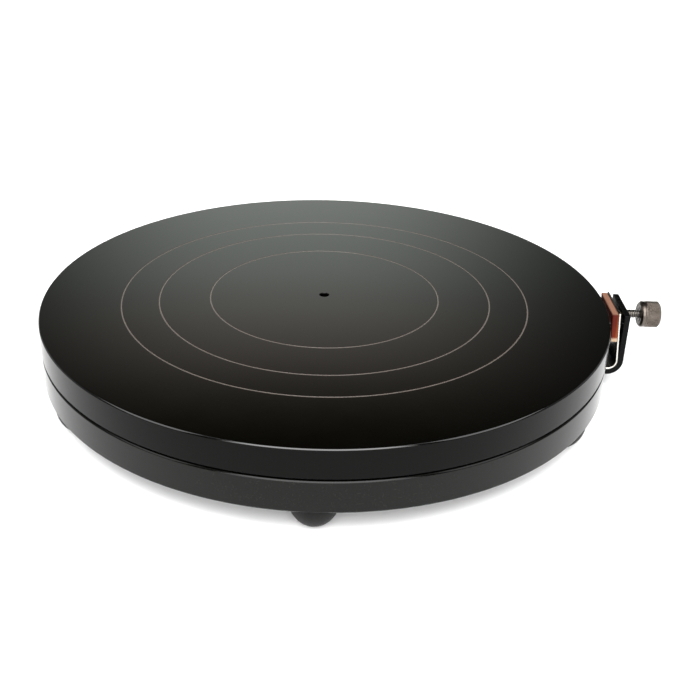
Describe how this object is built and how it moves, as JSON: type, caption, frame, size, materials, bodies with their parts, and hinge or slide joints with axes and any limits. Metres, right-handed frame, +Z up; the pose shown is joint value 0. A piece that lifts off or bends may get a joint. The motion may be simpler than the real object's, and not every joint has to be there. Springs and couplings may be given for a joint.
{
  "type": "sculpting turntable",
  "caption": "Low round bench turntable: black metal platter on ball bearings over a footed base, with a thumbscrew-set leather brake at the rim.",
  "frame": {"origin": "On the axis of rotation, on the platter's working face, at the mouth of the centre bore. The feet stand on the plane 61.6 mm below it.", "axes": "+Z up along the axis of rotation, +X towards the rim brake and its thumbscrew, +Y completing a right-handed frame; a user at -Y has the brake on the right."},
  "size_m": [0.4466, 0.4064, 0.0621],
  "materials": {
    "platter_black": "black anodised, fine turned finish, satin gloss",
    "base_black": "black textured powder coat",
    "bearing_steel": "ground and polished bearing steel",
    "cage_brass": "machined brass cage",
    "machined_steel": "turned steel, light oil",
    "fastener_black": "black oxide screws",
    "cover_steel": "black painted sheet steel",
    "foot_rubber": "moulded matte black rubber",
    "bracket_black": "black oxide strap steel, satin",
    "spring_steel": "bright rolled spring steel",
    "pad_leather": "thick vegetable-tanned leather, cut edges",
    "tip_brass": "turned brass",
    "plated_steel": "bright plated screw thread",
    "knob_steel": "knurled stainless steel"
  },
  "bodies": {
    "platter": {"platter": "platter_black", "thrust_race_upper": "bearing_steel", "hub_bearing_inner_ring": "bearing_steel", "spindle": "machined_steel", "spindle_screws": "fastener_black", "lock_washer": "machined_steel", "locknut": "machined_steel"},
    "base": {"base": "base_black", "thrust_race_lower": "bearing_steel", "hub_bearing_outer_ring": "bearing_steel", "bearing_retainer": "machined_steel", "retainer_screws": "fastener_black", "hub_cover": "cover_steel", "hub_cover_screws": "fastener_black", "feet": "foot_rubber", "foot_washers": "machined_steel", "foot_screws": "machined_steel", "brake_bracket": "bracket_black", "bracket_screws": "fastener_black", "brake_leaf": "spring_steel"},
    "race_cage": {"thrust_cage": "cage_brass", "thrust_balls": "bearing_steel"},
    "hub_cage": {"hub_bearing_cage": "cage_brass", "hub_bearing_balls": "bearing_steel"},
    "brake_pad_arm": {"brake_pad": "pad_leather"},
    "brake_tip": {"brake_screw_tip": "tip_brass"},
    "brake_knob_screw": {"brake_screw": "plated_steel", "brake_knob": "knob_steel"}
  },
  "joints": [
    {"name": "platter_spin", "type": "hinge", "parent": "base", "child": "platter", "pos_m": [0, 0, -0.0203], "axis": [0, 0, 1], "continuous": true},
    {"name": "race_cage_spin", "type": "hinge", "parent": "base", "child": "race_cage", "pos_m": [0, 0, -0.0211], "axis": [0, 0, 1], "continuous": true},
    {"name": "hub_cage_spin", "type": "hinge", "parent": "base", "child": "hub_cage", "pos_m": [0, 0, -0.0281], "axis": [0, 0, 1], "continuous": true},
    {"name": "brake_travel", "type": "slide", "parent": "base", "child": "brake_tip", "axis": [1, 0, 0], "range_m": [-0.00133, 0.00219]},
    {"name": "brake_knob_turn", "type": "hinge", "parent": "brake_tip", "child": "brake_knob_screw", "pos_m": [0.2363, 0, -0.009], "axis": [1, 0, 0], "range_deg": [-375.88, 621.07]},
    {"name": "brake_flex", "type": "hinge", "parent": "base", "child": "brake_pad_arm", "pos_m": [0.21338, 0, -0.03807], "axis": [0, 1, 0], "range_deg": [-2.6, 4.29], "deforming": ["brake_leaf"]}
  ],
  "couplings": [
    {"joint": "race_cage_spin", "follows": "platter_spin", "ratio": 0.5},
    {"joint": "hub_cage_spin", "follows": "platter_spin", "ratio": 0.41649},
    {"joint": "brake_knob_turn", "follows": "brake_travel", "rad_per_m": 4947.4},
    {"joint": "brake_flex", "follows": "brake_travel", "rad_per_m": 34.211}
  ]
}
